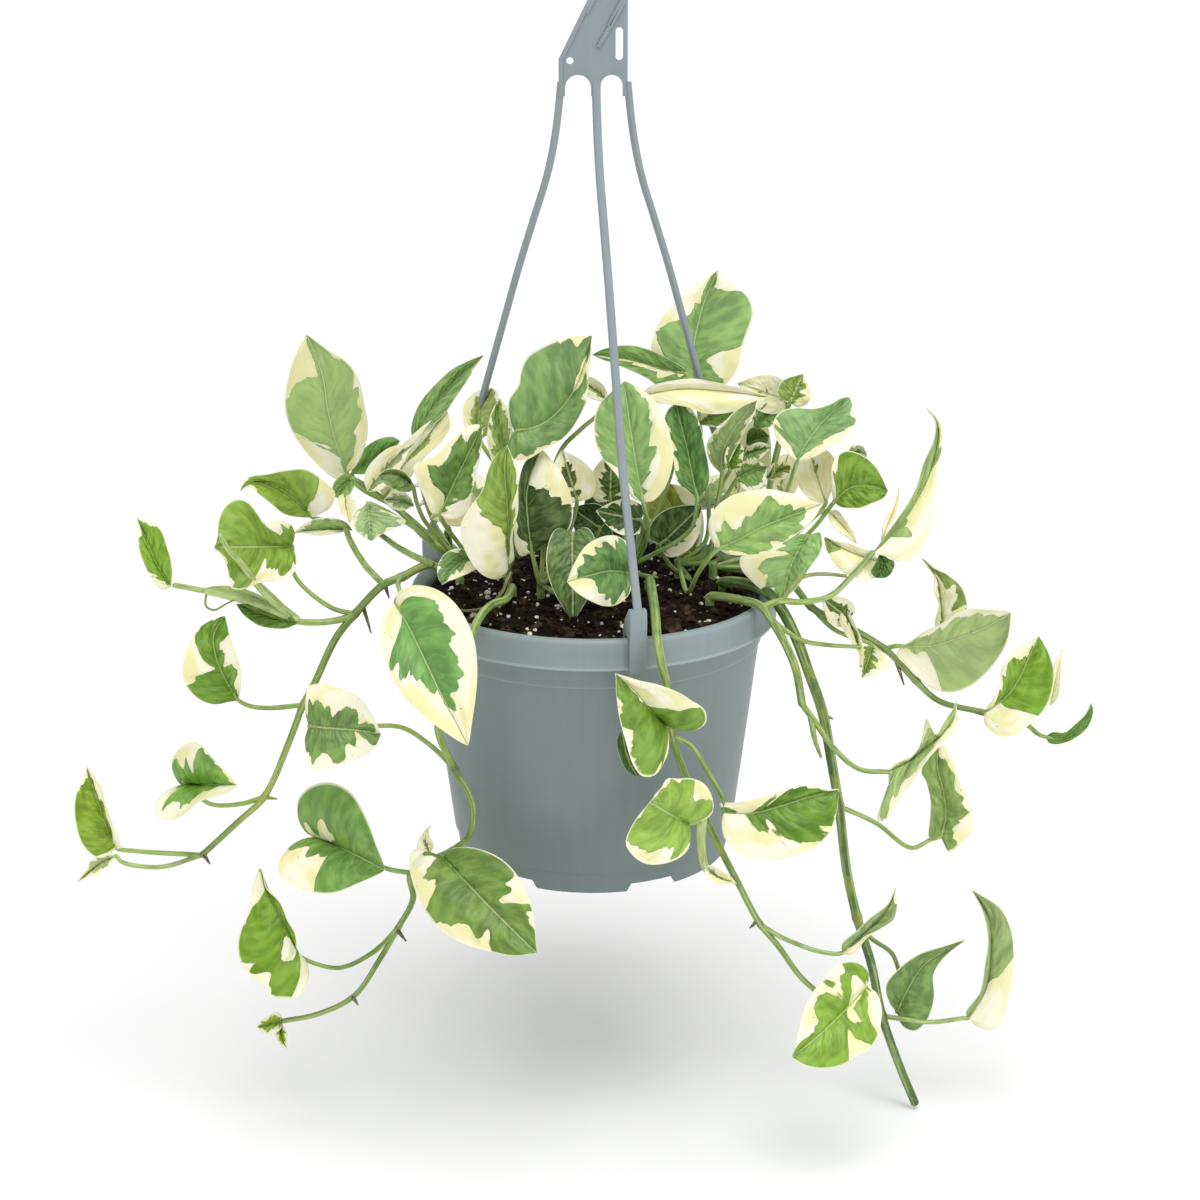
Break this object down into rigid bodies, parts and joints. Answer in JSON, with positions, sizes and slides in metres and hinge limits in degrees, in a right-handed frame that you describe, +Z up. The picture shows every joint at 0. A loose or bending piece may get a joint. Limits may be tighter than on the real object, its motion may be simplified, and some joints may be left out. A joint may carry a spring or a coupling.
{
  "type": "potted njoy pothos",
  "caption": "Variegated trailing pothos in a tapered plastic hanging pot with soil, held by a moulded hanger with a top hook.",
  "frame": {"origin": "the inside top of the hanger's hook, where it bears on what holds it up, on the pot's axis", "axes": "+Z up along the pot's axis, -Y towards the viewer of the picture, +X to the viewer's right"},
  "size_m": [0.4731, 0.2478, 0.5726],
  "materials": {
    "pot": "smooth matt blue-grey moulded plastic",
    "hanger": "smooth matt blue-grey moulded plastic",
    "soil": "coarse dark peat mix with white perlite",
    "foliage": "semi-gloss leaves, green with cream margins"
  },
  "bodies": {
    "root": {"pot": "pot", "soil": "soil", "hanger": "hanger", "stem_left_trailing": "foliage", "stem_front_left_trailing": "foliage", "stem_front_trailing": "foliage", "stem_right_cut": "foliage", "stem_right_trailing": "foliage", "stem_right_far": "foliage", "stem_left_upright": "foliage", "stem_left_centre": "foliage", "stem_centre_left": "foliage", "stem_centre": "foliage", "stem_centre_right": "foliage", "stem_right_upright": "foliage", "stem_back_left": "foliage", "stem_back_right": "foliage", "stem_back_trailing": "foliage"}
  },
  "joints": []
}
